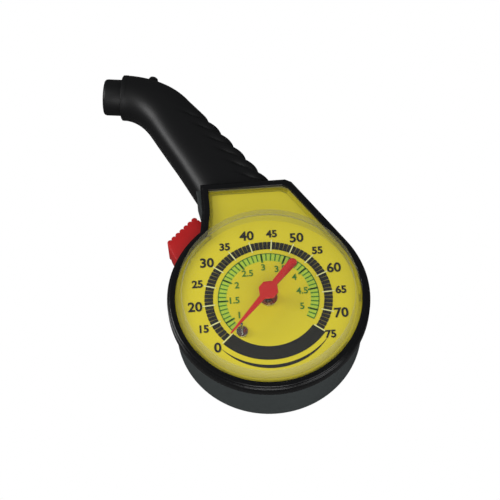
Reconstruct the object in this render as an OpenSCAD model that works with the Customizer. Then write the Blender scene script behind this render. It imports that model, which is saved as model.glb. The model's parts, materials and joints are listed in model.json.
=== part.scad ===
// Dial tyre pressure gauge: a round gauge head, a bent ribbed grip and a push-on valve chuck.
// Millimetres. The origin is the middle of the case's flat back, +Z points out through the dial,
// and +Y points towards the neck that joins the head to the grip.

/* [Case] */
// Outside radius of the round case
case_r = 32.3; // [32:0.1:39]
// Thickness of the case wall
case_wall = 2; // [1.6:0.1:2.4]
// Thickness of the case floor
case_floor = 2; // [1.6:0.1:2.4]
// Height of the case rim above the flat back
case_h = 23.9; // [23.9:0.1:29]
// How far the neck reaches past the case's radius
neck_reach = 13; // [12:0.5:17]
// Where the neck's left side stands, from the middle of the case
neck_left = 20.8; // [19:0.1:21.5]
// Slope of the neck's right side
neck_slope = 34.2; // [28:0.2:38]
// Height of the neck's underside
neck_low = 4.5; // [3:0.1:6.5]

/* [Front] */
// Thickness of the frame's skirt
skirt_t = 1.65; // [1.4:0.05:2.2]
// How far the skirt hangs down over the case
skirt_drop = 1.9; // [1.5:0.1:2.4]
// Height of the frame above the case rim
frame_rise = 3.1; // [2.8:0.1:4]
// Width of the frame's visible border
border_w = 2.75; // [2.4:0.05:3.4]
// Height of the clear lens drum above the dial
lens_h = 8.5; // [8.3:0.1:11]
// Wall of the clear lens
lens_t = 1.4; // [1:0.1:1.6]
// Thickness of the dial plate
dial_t = 0.6; // [0.5:0.1:0.8]

/* [Movement] */
// Distance from the pointer shaft to the sector's pivot
gear_c = 15; // [15:0.1:15.2]
// Teeth on the pinion
pinion_z = 12; // [12:1:12]
// Teeth that a whole sector circle would hold
sector_z = 108; // [108:1:108]
// Radius of the bourdon tube's middle line
tube_r = 20; // [19.5:0.1:20.6]
// Turn of the bourdon tube from its root to its tip
tube_turn = 170; // [165:1:175]
// Length of the pointer's thin end
pointer_tip = 20; // [17:0.5:24]
// Length of the pointer's round end
pointer_tail = 14.6; // [12:0.2:17]
// Rest direction of the pointer, anticlockwise from +X
pointer_rest = 228; // [226:0.5:229]
// Gap at each flank of the gear teeth
tooth_slack = 0.02; // [0.01:0.01:0.04]

/* [Release valve] */
// Direction of the release button, anticlockwise from +X
button_dir = 133.5; // [130:0.5:137]
// How far the button stands out of the case wall
button_out = 9.6; // [8:0.1:12]
// Height of the button
button_h = 10.8; // [9:0.1:11]
// Button travel that the valve is made for
button_travel = 2; // [1.5:0.1:2]
// Width of each ridge on the button
ridge_pitch = 2; // [1.7:0.1:2.1]

/* [Grip] */
// Length of the grip's straight run
grip_run = 42; // [35:0.1:50]
// Half width of the grip where it meets the neck
grip_w0 = 12.4; // [11:0.1:13.5]
// Half width of the grip at the bend
grip_w1 = 9.3; // [8.6:0.1:10.4]
// Radius of the round collar where the grip ends
collar_r = 8.4; // [8.2:0.1:9]
// Half height of the grip
grip_half_h = 8.1; // [7.8:0.1:8.6]
// Wall of the grip shells
grip_wall = 1.7; // [1.4:0.1:1.8]
// Lean of the grip from +Y
grip_lean = 32.7; // [30:0.1:38]
// Further turn at the bend
bend_turn = 50; // [44:0.5:52]
// Radius of the bend's middle line
bend_r = 23.5; // [23:0.5:28]
// Distance between grip ribs across their own direction
rib_pitch = 4.2; // [3.6:0.1:5]
// Depth of the valleys between ribs
rib_depth = 1.1; // [0.6:0.1:1.2]

/* [Chuck] */
// Radius of the mouth that takes a tyre valve
mouth_r = 4.4; // [4.2:0.05:4.6]
// Free depth of the mouth in front of the seal
mouth_depth = 8.5; // [8:0.1:9]
// Outside radius of the nose
nose_r = 6.7; // [6.4:0.1:7.2]
// How far the nose stands out of the grip
nose_out = 7; // [6:0.1:8]

/* [Fits] */
// Radial clearance of a shaft in its hole
run_gap = 0.06; // [0.03:0.01:0.09]
// Gap round sliding and drop-in plastic pieces
slip_gap = 0.15; // [0.1:0.01:0.2]
// Radial clearance of the opened link pivot
link_gap = 0.25; // [0.22:0.01:0.3]

/* [Hidden] */
$fn = 64;
eps = 0.01;

// Levels from the flat back upwards
dial_z = case_h + dial_t;
frame_top = case_h + frame_rise;
skirt_z = case_h - skirt_drop;
lens_foot = 1.2;
lens_top = dial_z + lens_h;
pointer_z = lens_top - lens_t - 1.1;
pointer_t = 0.5;
grip_z = 16;
head_r = case_r + slip_gap + skirt_t;
inner_r = case_r - case_wall;
neck_y = case_r + neck_reach;
neck_in = skirt_t + slip_gap;
// The neck's walls stand this far inside the round wall, so that they cross it
overlap_in = 0.06;

// Movement
module_mm = gear_c * 2 / (pinion_z + sector_z);
pinion_r = module_mm * pinion_z / 2;
sector_r = module_mm * sector_z / 2;
sector_dir = -5.7;
sector_at = gear_c * [cos(sector_dir), sin(sector_dir)];
tail_len = 5;
tail_at = sector_at - [tail_len, 0];
ear_at = [10, -12.5];
tube_start = button_dir + 14.5;
tube_sink = 7;
tube_h = 8;
tube_w = 2.4;
tube_wall = 0.4;
tube_z = 10;
plate_t = 1;
low_z = 4.5;
top_z = 18;
gear_z = 8.1;
gear_t = 1;
link_z = 9.8;
link_t = 0.6;
arbor_r = 0.75;
pillar_r = 1.3;
pillars_at = [[-4.5, 5], [-4.5, -6], [14.5, 5.5]];
stop_r = 15.4;
stud_at = 4.9 * [cos(200), sin(200)];
spring_z = 13;

// Release valve and manifold, in the button's own frame: x outwards, y clockwise round the dial
valve_z = 16;
block_in = 12;
block_out = 22.5;
block_left = -5;
block_right = 9;
block_low = 6;
block_high = 20;
chamber_r = 2.6;
chamber_in = 13.5;
chamber_out = 18;
stem_r = 1.15;
button_face = case_r + button_out;
flange_half = 10;
flange_out = sqrt(inner_r * inner_r - flange_half * flange_half) - 0.3;
flange_t = 1.5;
button_bottom = flange_out + 4.7;
button_low = 9.4;
button_up = 7.4;
check_x = (chamber_in + chamber_out) / 2;
seat_y = 6.5;
hose_end_y = 14.6;
screw_holes = [[14.8, 3.2], [20, 3.2]];

// Grip and chuck
grip_root = [-8, neck_y];
tip_len = nose_out;
arc_len = bend_r * bend_turn * PI / 180;
grip_len = grip_run + arc_len + tip_len - nose_out;
tip_lean = grip_lean + bend_turn;
skew_len = 22;
bend_at = grip_root + grip_run * heading(grip_lean);
arc_end = bend_at + bend_r * [cos(tip_lean) - cos(grip_lean), sin(tip_lean) - sin(grip_lean)];
mouth_at = arc_end + tip_len * heading(tip_lean);
knee_back = tip_len + bend_r * tan(bend_turn / 2);
knee_at = mouth_at - knee_back * heading(tip_lean);
rib_dir = -17.3;
hose_r = 2;
hose_bore = 1.1;
held_r = 5.6;
seal_t = 2.5;
disc_t = 1;
pocket_r = 4.9;
disc_back = mouth_depth + seal_t + disc_t;
grip_screw_at = [[8, 6.6], [9, -6.2], [32, -4.9]];

function heading(a) = [-sin(a), cos(a)];
function clampv(x, lo, hi) = max(lo, min(hi, x));
function smooth(x) = let (t = clampv(x, 0, 1)) t * t * (3 - 2 * t);
function spow(v, n) = sign(v) * pow(abs(v), n);

// Outline of the whole head seen from the front, set in by d all round
module head_outline(d) {
  r = head_r - d;
  top = neck_y - d;
  circle(r = r, $fn = 96);
  polygon([r * [cos(neck_slope), sin(neck_slope)],
    [(r - (top - 1.2) * sin(neck_slope)) / cos(neck_slope), top - 1.2],
    [(r - top * sin(neck_slope)) / cos(neck_slope) - 1.4, top],
    [-neck_left + d, top], [-neck_left + d + 0.2, neck_y - 11],
    [-neck_left + d - 1.2, 23.6], [-12, 0], [12, 0]]);
}

module in_button_frame(z = valve_z) { rotate(button_dir) translate([0, 0, z]) children(); }
module along_x() { rotate([0, 90, 0]) children(); }
module along_y() { rotate([-90, 0, 0]) children(); }
// Button frame's y runs clockwise round the dial
module clockwise() { mirror([0, 1, 0]) children(); }

module tube(r_out, r_in, h) {
  difference() {
    cylinder(r = r_out, h = h);
    translate([0, 0, -1]) cylinder(r = r_in, h = h + 2);
  }
}

module rear_case() {
  color([0.17, 0.18, 0.18]) difference() {
    union() {
      rotate_extrude($fn = 96) polygon([[0, 0], [case_r - 1.2, 0], [case_r - 0.35, 0.35], [case_r, 1.2],
        [case_r, case_h], [0, case_h]]);
      translate([0, 0, neck_low]) linear_extrude(case_h - neck_low) head_outline(neck_in + overlap_in);
      translate([0, 0, grip_z - grip_half_h]) linear_extrude(skirt_z - slip_gap - grip_z + grip_half_h)
        polygon([[6.8, neck_y], [-neck_left - 1.6, neck_y], [-neck_left - 0.1, neck_y - 8],
          [-neck_left + 0.3, neck_y - 11], [-neck_left + 6, neck_y - 11], [-neck_left + 6, neck_y - 4],
          [6.8, neck_y - 4]]);
    }
    translate([0, 0, case_floor]) cylinder(r = inner_r, h = case_h, $fn = 96);
    translate([0, 0, neck_low + case_floor]) linear_extrude(case_h) head_outline(neck_in + case_wall + overlap_in);
    // window for the release button
    in_button_frame() translate([inner_r - 8, -button_up - slip_gap, -button_h / 2 - 2 * slip_gap])
      cube([18, button_up + button_low + 2 * slip_gap, button_h + 4 * slip_gap]);
    // way out for the air hose
    translate([grip_root.x, grip_root.y, grip_z]) rotate(grip_lean) translate([0, -20, 0]) along_y()
      cylinder(r = hose_r + 2 * slip_gap, h = 30);
    // screw heads and shanks that come in from the back
    back_screw_places() translate([0, 0, -1]) cylinder(r = 2.3, h = 1.4 + 1);
    back_screw_places() translate([0, 0, -1]) cylinder(r = 1.1, h = 9);
  }
  color([0.17, 0.18, 0.18]) difference() {
    union() {
      back_screw_places(posts = "plate") translate([0, 0, case_floor - eps])
        cylinder(r = 2.6, h = low_z - case_floor + eps);
      back_screw_places(posts = "block") translate([0, 0, case_floor - eps])
        cylinder(r = 2.4, h = block_low - case_floor + eps);
    }
    back_screw_places() translate([0, 0, -1]) cylinder(r = 1.1, h = 9);
  }
}

// Where the screws come in from the back, under the pillars and under the manifold
module back_screw_places(posts = "both") {
  if (posts != "block") for (p = pillars_at) translate([p.x, p.y, 0]) children();
  if (posts != "plate") for (p = screw_holes) rotate(button_dir) translate([p.x, -p.y, 0]) children();
}

module back_screws() {
  color("silver") {
    for (p = pillars_at) translate([p.x, p.y, 0]) self_tapper(low_z + 4);
    for (p = screw_holes) rotate(button_dir) translate([p.x, -p.y, 0]) self_tapper(block_low + 4);
  }
}

// Pan screw that stands head down in the case's back, up to a given height
module self_tapper(top) {
  difference() {
    union() {
      translate([0, 0, 0.3]) cylinder(r = 2.1, h = 1.1);
      cylinder_between(0.8, 1.35, top);
    }
    for (a = [0, 90]) rotate(a) translate([-1.4, -0.25, 0]) cube([2.8, 0.5, 0.8]);
  }
}

module cylinder_between(r, z0, z1) { translate([0, 0, z0]) cylinder(r = r, h = z1 - z0); }

module front_frame() {
  color([0.05, 0.05, 0.05]) difference() {
    union() {
      translate([0, 0, skirt_z]) linear_extrude(frame_top - skirt_z - 0.8) head_outline(0);
      translate([0, 0, skirt_z]) linear_extrude(frame_top - skirt_z) head_outline(0.7);
    }
    translate([0, 0, skirt_z - 1]) linear_extrude(dial_z + lens_foot - skirt_z + 1) head_outline(skirt_t);
    translate([0, 0, skirt_z]) linear_extrude(10) head_outline(border_w);
  }
}

module lens() {
  drum_r = head_r - border_w - slip_gap - 0.05;
  color([0.9, 0.95, 0.95, 0.35]) difference() {
    union() {
      translate([0, 0, dial_z]) linear_extrude(lens_foot) head_outline(skirt_t + 0.25);
      translate([0, 0, dial_z]) linear_extrude(1.9) head_outline(border_w + slip_gap);
      translate([0, 0, dial_z]) rotate_extrude($fn = 96) polygon(concat([[0, 0], [drum_r, 0]],
        [for (a = [0:15:90]) [drum_r - 0.6 - 2.2 + 2.2 * cos(a), lens_h - 2.2 + 2.2 * sin(a)]], [[0, lens_h]]));
    }
    translate([0, 0, dial_z - 1]) linear_extrude(1.7) head_outline(border_w + 1.1);
    translate([0, 0, dial_z - 1]) rotate_extrude($fn = 96) polygon(concat([[0, 0], [drum_r - lens_t, 0]],
      [for (a = [0:15:90]) [drum_r - lens_t - 0.6 - 1 + cos(a), lens_h - lens_t + sin(a)]],
      [[0, lens_h - lens_t + 1]]));
  }
}

module dial_plate() {
  color([0.84, 0.78, 0.14]) difference() {
    translate([0, 0, case_h]) linear_extrude(dial_t) head_outline(skirt_t + 0.35);
    cylinder(r = 2.45, h = 60);
    stop_place() cylinder(r = 0.9, h = 60);
  }
}

module stop_place() { rotate(pointer_rest + 3.2) translate([stop_r, 0, 0]) children(); }

module stop_pin() {
  color("silver") stop_place() {
    cylinder_between(0.9, case_h - 0.6, dial_z);
    cylinder_between(1.5, case_h - 1.2, case_h);
    cylinder_between(1.9, dial_z, dial_z + 1.1);
    cylinder_between(0.4, dial_z + 1, pointer_z + pointer_t + 0.2);
  }
}

module dial_bush() {
  color("silver") difference() {
    union() {
      cylinder_between(2.45, top_z + plate_t, dial_z + 0.2);
      cylinder_between(3, dial_z, dial_z + 0.9);
    }
    cylinder_between(1.05, top_z, dial_z + 2);
    cylinder_between(1.9, dial_z + 0.35, dial_z + 2);
  }
}

module plate_shape(z) {
  translate([0, 0, z]) linear_extrude(plate_t)
    polygon([[-6.5, -8.5], [12, -8.5], [17.3, -4.5], [17.3, 4.5], [14.8, 8], [-6.5, 7]]);
}

module plate_low() {
  color("goldenrod") difference() {
    plate_shape(low_z);
    cylinder_between(arbor_r + run_gap, 0, 8);
    translate([sector_at.x, sector_at.y, 0]) cylinder(r = arbor_r + run_gap, h = 8);
    for (p = pillars_at) translate([p.x, p.y, 0]) cylinder(r = 0.8, h = 8);
    translate([stud_at.x, stud_at.y, 0]) cylinder(r = 0.5, h = 8);
  }
}

module plate_top() {
  color("goldenrod") difference() {
    plate_shape(top_z);
    cylinder_between(arbor_r + run_gap, 16, 22);
    translate([sector_at.x, sector_at.y, 16]) cylinder(r = arbor_r + run_gap, h = 8);
    for (p = pillars_at) translate([p.x, p.y, 16]) cylinder(r = 0.7, h = 8);
  }
}

module pillars() {
  color("goldenrod") for (p = pillars_at) translate([p.x, p.y, 0]) difference() {
    cylinder_between(pillar_r, low_z + plate_t, top_z);
    cylinder_between(0.8, 0, low_z + 4);
    cylinder_between(0.7, top_z - 3, 22);
  }
}

module plate_screws() {
  color("silver") for (p = pillars_at) translate([p.x, p.y, 0]) difference() {
    union() {
      cylinder_between(0.7, top_z - 3, top_z + plate_t + 0.2);
      cylinder_between(1.4, top_z + plate_t, top_z + plate_t + 0.9);
    }
    translate([-2, -0.2, top_z + plate_t + 0.5]) cube([4, 0.4, 1]);
  }
}

module manifold() {
  color("darkgoldenrod") difference() {
    in_button_frame(0) translate([block_in, -block_right, block_low])
      cube([block_out - block_in, block_right - block_left, block_high - block_low]);
    in_button_frame() along_x() cylinder_between(chamber_r, block_in - 1, chamber_out);
    in_button_frame() along_x() cylinder_between(stem_r + run_gap + 0.03, block_in, block_out + 1);
    in_button_frame() clockwise() translate([check_x, 0, 0]) along_y() {
      cylinder_between(1, 0, block_right);
      cylinder_between(2.4, 3.2, block_right + 1);
    }
    // passages down to the bourdon tube's socket
    in_button_frame(tube_z) translate([check_x, 0, 0]) cylinder(r = 0.8, h = valve_z - tube_z);
    in_button_frame(tube_z) translate([check_x, 0, 0]) rotate([0, 90, 40]) cylinder(r = 0.8, h = 5);
    bourdon_body(tube_h, tube_w);
    for (p = screw_holes) rotate(button_dir) translate([p.x, -p.y, 0]) cylinder_between(0.8, 0, block_low + 4);
  }
}

module bourdon_body(h, w, over = 0) {
  a0 = tube_start - tube_sink - over;
  translate([0, 0, tube_z]) rotate_extrude(angle = tube_turn + tube_sink + 2 * over, start = a0, $fn = 96)
    translate([tube_r, 0]) polygon([[-w / 2, -h / 2 + 0.8], [-w / 2 + 0.6, -h / 2], [w / 2 - 0.6, -h / 2],
      [w / 2, -h / 2 + 0.8], [w / 2, h / 2 - 0.8], [w / 2 - 0.6, h / 2], [-w / 2 + 0.6, h / 2],
      [-w / 2, h / 2 - 0.8]]);
}

module chamber_plug() {
  color("goldenrod") in_button_frame() along_x() difference() {
    cylinder_between(chamber_r, block_in, chamber_in);
    translate([-0.3, -3, block_in - 1]) cube([0.6, 6, 1.5]);
  }
}

module inlet_fitting() {
  color("goldenrod") in_button_frame() clockwise() translate([check_x, 0, 0]) along_y() difference() {
    union() {
      cylinder_between(2.4, seat_y, block_right);
      translate([0, 0, block_right]) cylinder(r = 3.2, h = 2, $fn = 6);
      cylinder_between(hose_bore, block_right + 1.9, hose_end_y);
    }
    cylinder_between(0.7, 0, hose_end_y + 1);
  }
}

module bourdon_tube() {
  color("peru") difference() {
    bourdon_body(tube_h, tube_w);
    bourdon_body(tube_h - 2 * tube_wall, tube_w - 2 * tube_wall, 1);
  }
}

module tube_tip() {
  tip_a = tube_start + tube_turn;
  color("goldenrod") {
    difference() {
      union() {
        rotate(tip_a) translate([tube_r - 1.6, 0, tube_z - tube_h / 2 - 0.4]) cube([3.2, 3.6, tube_h + 0.8]);
        translate([0, 0, link_z + link_t + 0.6]) linear_extrude(0.8)
          polygon([(tube_r - 0.5) * [cos(tip_a + 1), sin(tip_a + 1)],
            (tube_r - 0.5) * [cos(tip_a + 9.5), sin(tip_a + 9.5)],
            ear_at + [0.2, 1.3], ear_at + [-1.2, 0.4], ear_at + [-0.8, -1.2], ear_at + [0.9, -1.1]]);
      }
      bourdon_body(tube_h, tube_w);
    }
    translate([ear_at.x, ear_at.y, 0]) cylinder_between(0.5, link_z - 0.5, link_z + link_t + 0.7);
  }
}

// One flank of an involute tooth: points from the root to the tip of a gear of pitch radius r
function involute(r, root, tip, half) = let (base = r * cos(20), inv0 = tan(20) * 180 / PI - 20)
  [for (i = [0:4]) let (q = max(base, root) + (tip - max(base, root)) * i / 4, c = acos(min(1, base / q)),
    a = half + inv0 - (tan(c) * 180 / PI - c)) q * [cos(a), sin(a)]];
function tooth(r, root, tip, half, dir) = let (f = involute(r, root, tip, half), g = root / norm(f[0]) * f[0],
  foot = norm(f[0]) > root + eps ? [g] : [])
  [for (p = concat([for (q = foot) [q.x, -q.y]], [for (q = f) [q.x, -q.y]], [for (i = [4:-1:0]) f[i]], foot))
    [p.x * cos(dir) - p.y * sin(dir), p.x * sin(dir) + p.y * cos(dir)]];

module sector_gear() {
  root = sector_r - 1.3 * module_mm;
  half = 90 / sector_z - tooth_slack * 180 / PI / sector_r;
  step = 360 / sector_z;
  color("goldenrod") translate([sector_at.x, sector_at.y, gear_z]) difference() {
    union() {
      linear_extrude(gear_t) polygon(concat([[2, 0] - [0, 1.2], [2, 0] + [0, 1.2]],
        [(root - 1.6) * [cos(145), sin(145)]],
        [for (k = [11:-1:-1]) each tooth(sector_r, root, sector_r + 0.7 * module_mm, half,
          180 + sector_dir - k * step)], [(root - 1.6) * [cos(181), sin(181)]]));
      cylinder(r = 2.2, h = gear_t);
    }
    translate([0, 0, -1]) cylinder(r = arbor_r, h = 4);
    translate([-tail_len, 0, -1]) cylinder(r = 0.5, h = 4);
  }
}

module sector_arbor() {
  color("silver") {
    translate([sector_at.x, sector_at.y, 0]) {
      cylinder_between(arbor_r, low_z - 0.3, top_z + plate_t + 0.4);
      difference() {
        cylinder_between(1.5, gear_z + gear_t, link_z + link_t + 1);
        cylinder_between(arbor_r, 0, 20);
      }
    }
    translate([tail_at.x, tail_at.y, 0]) cylinder_between(0.5, gear_z, link_z + link_t + 0.25);
  }
}

module link() {
  d = ear_at - tail_at;
  far = norm(d);
  color("silver") translate([tail_at.x, tail_at.y, link_z]) rotate(atan2(d.y, d.x)) difference() {
    union() {
      translate([0, -0.8, 0]) cube([far, 1.6, link_t]);
      cylinder(r = 1.2, h = link_t);
      translate([far, 0, 0]) cylinder(r = 1.4, h = link_t);
    }
    translate([0, 0, -1]) cylinder(r = 0.5 + run_gap, h = 3);
    translate([far, 0, -1]) cylinder(r = 0.5 + link_gap, h = 3);
  }
}

module pinion_arbor() {
  root = pinion_r - 1.3 * module_mm;
  half = 90 / pinion_z - tooth_slack * 180 / PI / pinion_r;
  step = 360 / pinion_z;
  color("silver") {
    translate([0, 0, gear_z - 0.4]) linear_extrude(gear_t + 0.8)
      polygon([for (k = [0:pinion_z - 1]) each tooth(pinion_r, root, pinion_r + module_mm, half,
        sector_dir + (k + 0.5) * step)]);
    cylinder_between(arbor_r, low_z - 0.3, top_z + plate_t + 2);
    cylinder_between(0.6, top_z, pointer_z - 0.2);
    cylinder_between(1.4, spring_z - 0.4, spring_z + 1.2);
  }
}

module pointer_boss() {
  color("silver") difference() {
    cylinder_between(1.3, dial_z + 2.2, pointer_z);
    cylinder_between(0.6, 0, pointer_z - 0.2);
  }
}

module pointer() {
  color([0.78, 0.14, 0.13]) translate([0, 0, pointer_z]) rotate(pointer_rest) linear_extrude(pointer_t) {
    polygon([[pointer_tip, 0.2], [pointer_tip, -0.2], [2.5, -1.05], [-2.5, -1], [-pointer_tail + 1.5, -1.5],
      [-pointer_tail + 1.5, 1.5], [-2.5, 1], [2.5, 1.05]]);
    translate([-pointer_tail + 1.5, 0]) circle(r = 1.5);
    rotate(22.5) circle(r = 3.4, $fn = 8);
  }
}

module hairspring() {
  turns = 4.56;
  steps = 110;
  function at(i, w) = let (t = i / steps, r = 1.4 + w + t * (norm(stud_at) - 0.6 - 1.4 - 0.12), a = 200 - 360 * turns * (1 - t))
    r * [cos(a), sin(a)];
  color("goldenrod") translate([0, 0, spring_z]) linear_extrude(0.7)
    polygon(concat([for (i = [0:steps]) at(i, 0)], [for (i = [steps:-1:0]) at(i, 0.12)]));
}

module hairspring_stud() {
  color("goldenrod") translate([stud_at.x, stud_at.y, 0]) {
    cylinder_between(0.5, low_z, low_z + plate_t);
    cylinder_between(0.6, low_z + plate_t, spring_z + 1);
  }
}

module release_button() {
  low = button_low - slip_gap;
  color([0.75, 0.1, 0.1]) in_button_frame() clockwise() difference() {
    union() {
      translate([0, 0, -button_h / 2]) linear_extrude(button_h) {
        polygon([[flange_out - 1, -low], [flange_out + 6, -low], [button_face - 2.6, -low + 1.8],
          [button_face - 1.2, -low + 2.6], [button_face - 1.2, button_up - 1.2],
          [button_face - 2.2, button_up - slip_gap], [flange_out - 1, button_up - slip_gap]]);
        for (i = [0:6]) translate([button_face - ridge_pitch * 0.6, i * ridge_pitch - low + 3.4])
          circle(r = ridge_pitch * 0.53);
      }
      translate([flange_out - flange_t, -flange_half, -button_h / 2 - 0.9])
        cube([flange_t, flange_half + button_up + 0.6, button_h + 1.8]);
    }
    along_x() cylinder_between(3.3, flange_out - 5, button_bottom);
    along_x() cylinder_between(stem_r, flange_out, button_bottom + 3.2);
  }
}

module release_stem() {
  color("silver") in_button_frame() along_x() {
    cylinder_between(stem_r, chamber_out - 1.8, button_bottom + 3.2);
    cylinder_between(2, chamber_out - 1.8, chamber_out - 0.8);
  }
}

module release_pad() {
  color([0.1, 0.1, 0.1]) in_button_frame() along_x() difference() {
    cylinder_between(1.9, chamber_out - 0.8, chamber_out - 0.05);
    cylinder_between(stem_r, 0, 40);
  }
}

// Closed helix of round wire, standing on z = 0
module coil(r, wire, turns, len) {
  per = 12;
  sides = 6;
  n = round(per * turns);
  function ring(i) = let (a = 360 * turns * i / n)
    [for (j = [0:sides - 1]) let (b = 360 * j / sides, q = r + wire * cos(b))
      [q * cos(a), q * sin(a), wire + (len - 2 * wire) * i / n + wire * sin(b)]];
  polyhedron(points = [for (i = [0:n]) each ring(i)],
    faces = concat([[for (j = [sides - 1:-1:0]) j]], [[for (j = [0:sides - 1]) n * sides + j]],
      [for (i = [0:n - 1]) for (j = [0:sides - 1]) let (k = (j + 1) % sides)
        each [[i * sides + j, (i + 1) * sides + k, (i + 1) * sides + j],
          [i * sides + j, i * sides + k, (i + 1) * sides + k]]]));
}

module button_spring() {
  color("silver") in_button_frame() along_x() translate([0, 0, block_out])
    coil(2.5, 0.25, 5, button_bottom - block_out);
}

module check_poppet() {
  color("goldenrod") in_button_frame() clockwise() translate([check_x, 0, 0]) along_y() {
    cylinder_between(2, seat_y - 1.4, seat_y - 0.55);
    cylinder_between(0.7, seat_y - 2, seat_y - 1.3);
  }
}

module check_pad() {
  color([0.1, 0.1, 0.1]) in_button_frame() clockwise() translate([check_x, 0, 0]) along_y()
    cylinder_between(1.9, seat_y - 0.55, seat_y - 0.04);
}

module check_spring() {
  color("silver") in_button_frame() clockwise() translate([check_x, 0, 0]) along_y() translate([0, 0, 3.2])
    coil(1.4, 0.15, 3, seat_y - 1.4 - 3.2);
}

// The hose leaves the inlet fitting, bends inside the neck and runs along the grip's straight line
inlet_u = [cos(button_dir), sin(button_dir)];
inlet_v = [sin(button_dir), -cos(button_dir)];
inlet_at = check_x * inlet_u;
grip_dir = heading(grip_lean);
line_det = grip_dir.x * inlet_v.y - grip_dir.y * inlet_v.x;
cross_q = ((inlet_at.x - grip_root.x) * inlet_v.y - (inlet_at.y - grip_root.y) * inlet_v.x) / line_det;
cross_at = grip_root + cross_q * grip_dir;
hose_turn = 180 - acos(grip_dir * inlet_v);
hose_tangent = norm(cross_at - inlet_at) - hose_end_y;
hose_bend_r = hose_tangent / tan(hose_turn / 2);
bend_start = cross_at + hose_tangent * grip_dir;

module hose_solid(rad, over) {
  translate([inlet_at.x, inlet_at.y, 0]) rotate(atan2(inlet_v.y, inlet_v.x)) along_x()
    cylinder_between(rad, block_right + 2 - 100 * over, hose_end_y + over);
  translate([bend_start.x, bend_start.y, 0]) rotate(grip_lean) translate([-hose_bend_r, 0, 0])
    rotate_extrude(angle = -hose_turn, $fn = 96) translate([hose_bend_r, 0]) circle(r = rad);
  translate([bend_start.x, bend_start.y, 0]) rotate(grip_lean + 90) along_x()
    cylinder_between(rad, -over, norm(knee_at - bend_start) - 5.2 + 100 * over);
}

module air_hose() {
  color([0.12, 0.12, 0.12]) translate([0, 0, grip_z]) difference() {
    hose_solid(hose_r, 0);
    hose_solid(hose_bore, eps);
  }
}

module hose_ferrules() {
  far = knee_at - 7.6 * grip_dir;
  color("silver") {
    translate([inlet_at.x, inlet_at.y, grip_z]) rotate(atan2(inlet_v.y, inlet_v.x)) along_x()
      translate([0, 0, block_right + 2.4])
      tube(hose_r + 0.4, hose_r, 2);
    translate([far.x, far.y, grip_z]) rotate(grip_lean + 90) along_x() tube(hose_r + 0.4, hose_r, 2);
  }
}

// Grip middle line, its lean and its half sizes at a distance q from the neck
function lean_at(q) = q < grip_run ? grip_lean : grip_lean + bend_turn * min(1, (q - grip_run) / arc_len);
function line_at(q) = q < grip_run ? grip_root + q * heading(grip_lean)
  : q < grip_run + arc_len ? bend_at + bend_r * [cos(lean_at(q)) - cos(grip_lean), sin(lean_at(q)) - sin(grip_lean)]
  : arc_end + (q - grip_run - arc_len) * heading(tip_lean);
function tip_share(q) = smooth((q - grip_run) / (grip_len - grip_run - 2));
function half_w(q) = (grip_w0 + (grip_w1 - grip_w0) * min(1, q / grip_run)) * (1 - tip_share(q))
  + collar_r * tip_share(q);
function half_h(q) = grip_half_h * (1 - tip_share(q)) + collar_r * tip_share(q);
function round_at(q) = 3.2 - 1.2 * smooth((q - grip_run * 0.6) / (grip_len - grip_run * 0.6));
function section(q, a, w, h) = let (n = 2 / round_at(q)) [w * spow(cos(a), n), h * spow(sin(a), n)];
// Valley depth at a place in plan: bumps between sharp valleys that run askew across the right half
function valley(p, q, a) = let (across = -p.x * sin(rib_dir) + p.y * cos(rib_dir) - neck_y)
  rib_depth * (1 - abs(sin(180 * (across - 1) / rib_pitch))) * smooth((88 - a) / 30) * smooth((a + 60) / 30)
  * smooth((across + 1) / 2) * smooth((25.5 - across) / 2);
function place(q, c, z) = let (t = lean_at(q), skew = tan(grip_lean) * max(0, 1 - q / skew_len), p = line_at(q))
  [p.x + c * cos(t) - c * skew * heading(t).x, p.y + c * sin(t) - c * skew * heading(t).y, grip_z + z];
function outer_point(q, a) = let (s = section(q, a, half_w(q), half_h(q)), p = place(q, s.x, 0),
  d = valley(p, q, a > 180 ? a - 360 : a), k = 1 - d / grip_half_h) place(q, s.x * k, s.y * k);
function inner_point(q, a) = let (s = section(q, a, half_w(q) - grip_wall, half_h(q) - grip_wall)) place(q, s.x, s.y);

stations = 48;
arc_steps = 11;

// Half of the grip's skin, from angle a0 round to a0 + 180 degrees
module half_shell(a0) {
  m = arc_steps + 1;
  function ring(i) = let (q = grip_len * i / stations) concat(
    [for (j = [0:arc_steps]) outer_point(q, a0 + 180 * j / arc_steps)],
    [for (j = [arc_steps:-1:0]) inner_point(q, a0 + 180 * j / arc_steps)]);
  w = 2 * m;
  polyhedron(points = [for (i = [0:stations]) each ring(i)],
    faces = concat(
      [for (i = [0:stations - 1]) for (j = [0:w - 1]) let (k = (j + 1) % w)
        each [[i * w + j, (i + 1) * w + k, (i + 1) * w + j], [i * w + j, i * w + k, (i + 1) * w + k]]],
      [for (j = [0:arc_steps - 1]) each [[j, w - 2 - j, j + 1], [j, w - 1 - j, w - 2 - j]]],
      [for (j = [0:arc_steps - 1]) let (o = stations * w)
        each [[o + j, o + j + 1, o + w - 2 - j], [o + j, o + w - 2 - j, o + w - 1 - j]]]));
}

module at_station(q) {
  p = line_at(q);
  translate([p.x, p.y, grip_z]) rotate(lean_at(q)) children();
}

// Wall across the inside of one half, with a notch for what passes through
module bulkhead(q, side, notch) {
  w = half_w(q) - grip_wall + 0.6;
  h = half_h(q) - grip_wall + 0.6;
  at_station(q) difference() {
    rotate([90, 0, 0]) linear_extrude(1.6)
      polygon([for (j = [0:12]) let (s = section(q, 15 * j, w, h)) [s.x, side * s.y]]);
    along_y() cylinder_between(notch + 0.05, -5, 5, $fn = 32);
  }
}

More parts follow.
